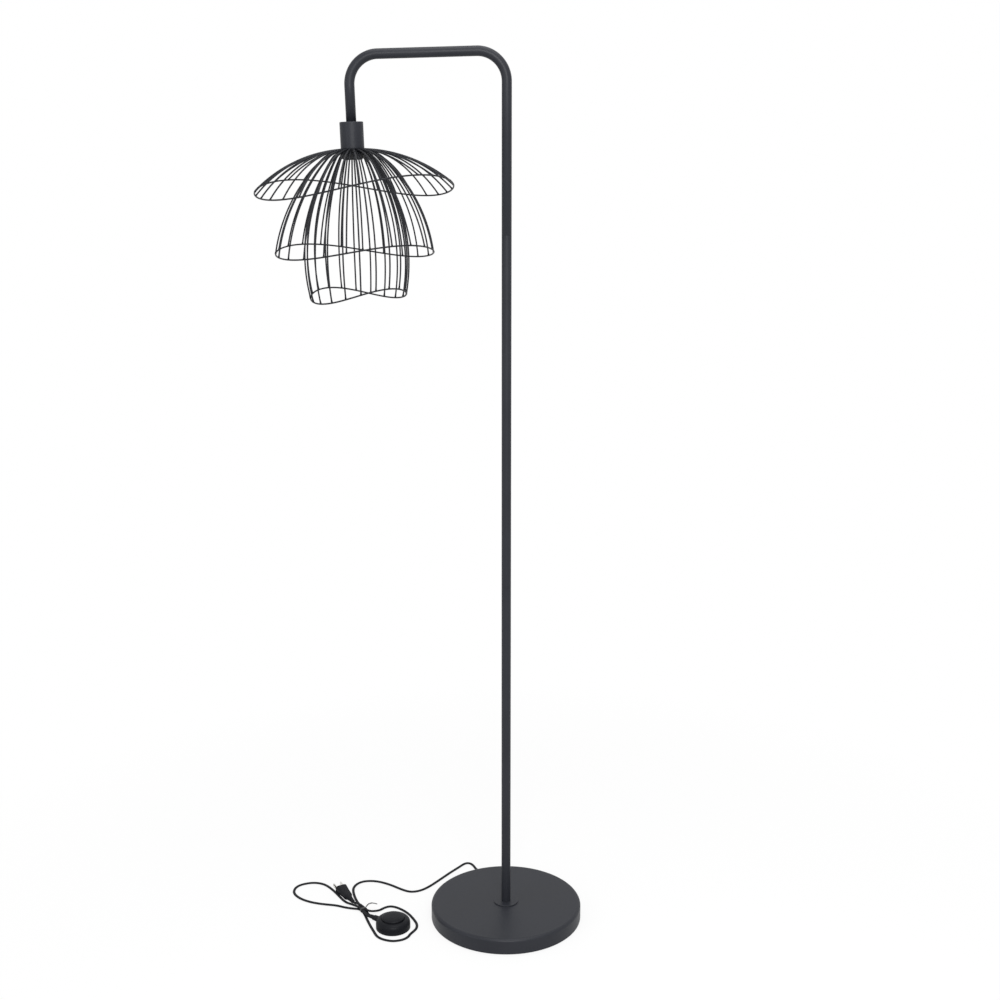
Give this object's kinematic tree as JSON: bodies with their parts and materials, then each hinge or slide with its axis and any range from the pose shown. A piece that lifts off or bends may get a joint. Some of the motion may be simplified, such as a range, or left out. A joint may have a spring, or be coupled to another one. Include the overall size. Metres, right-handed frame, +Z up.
{
  "type": "dome shade floor lamp",
  "caption": "Slim black floor lamp with a round base, a hooked pole and a dome shade of nested wire tiers, with flex, foot switch and plug.",
  "frame": {"origin": "middle of the base's underside, on the floor", "axes": "+Z is up along the pole, the arm and the shade point to -X, and the flex leaves the base towards +Y"},
  "size_m": [0.5008, 0.3311, 1.4],
  "materials": {
    "powder_coat": "satin black powder coat with a fine grain",
    "wire_coat": "satin black powder coat on welded wire",
    "foam_black": "matte closed-cell foam",
    "iron_weight": "rough cast iron",
    "zinc_steel": "zinc-plated turned steel",
    "holder_plastic": "matte black moulded plastic",
    "holder_ceramic": "white glazed ceramic",
    "contact_brass": "plain stamped brass",
    "cord_vinyl": "satin black vinyl",
    "switch_plastic": "black moulded plastic, slightly glossy",
    "spring_steel": "plain bright spring wire and screws",
    "tie_paper": "matte black wire tie strip"
  },
  "bodies": {
    "lamp": {"arm_insert": "zinc_steel", "arm_tube": "powder_coat", "base_pad": "foam_black", "base_shell": "powder_coat", "base_weight": "iron_weight", "centre_contact": "contact_brass", "cord_bush": "cord_vinyl", "cord_tie": "tie_paper", "foot_collar": "powder_coat", "foot_nipple": "zinc_steel", "foot_nut": "zinc_steel", "foot_washer": "zinc_steel", "head_nipple": "zinc_steel", "holder_cap": "holder_plastic", "holder_core": "holder_ceramic", "holder_sleeve": "holder_plastic", "inner_cable": "cord_vinyl", "inner_hub": "wire_coat", "inner_ribs": "wire_coat", "inner_rim": "wire_coat", "lamp_cord": "cord_vinyl", "lamp_cup": "powder_coat", "lower_coupler": "powder_coat", "lower_tube": "powder_coat", "middle_hub": "wire_coat", "middle_ribs": "wire_coat", "middle_rim": "wire_coat", "middle_tube": "powder_coat", "plug_blades": "contact_brass", "plug_body": "cord_vinyl", "plug_cord": "cord_vinyl", "pole_insert": "zinc_steel", "ring_nut": "holder_plastic", "socket_shell": "contact_brass", "switch_base": "switch_plastic", "switch_contacts": "contact_brass", "switch_cover": "switch_plastic", "switch_relief": "cord_vinyl", "switch_screws": "spring_steel", "switch_spring": "spring_steel", "top_hub": "wire_coat", "top_ribs": "wire_coat", "top_rim": "wire_coat", "upper_coupler": "powder_coat"},
    "button": {"switch_button": "switch_plastic", "contact_bridge": "contact_brass"}
  },
  "joints": [
    {"name": "button_press", "type": "slide", "parent": "lamp", "child": "button", "axis": [0, 0, -1], "range_m": [0, 0.0035], "stiffness_N_per_m": 900, "springref_m": -0.001, "deforming": ["switch_spring"]}
  ]
}
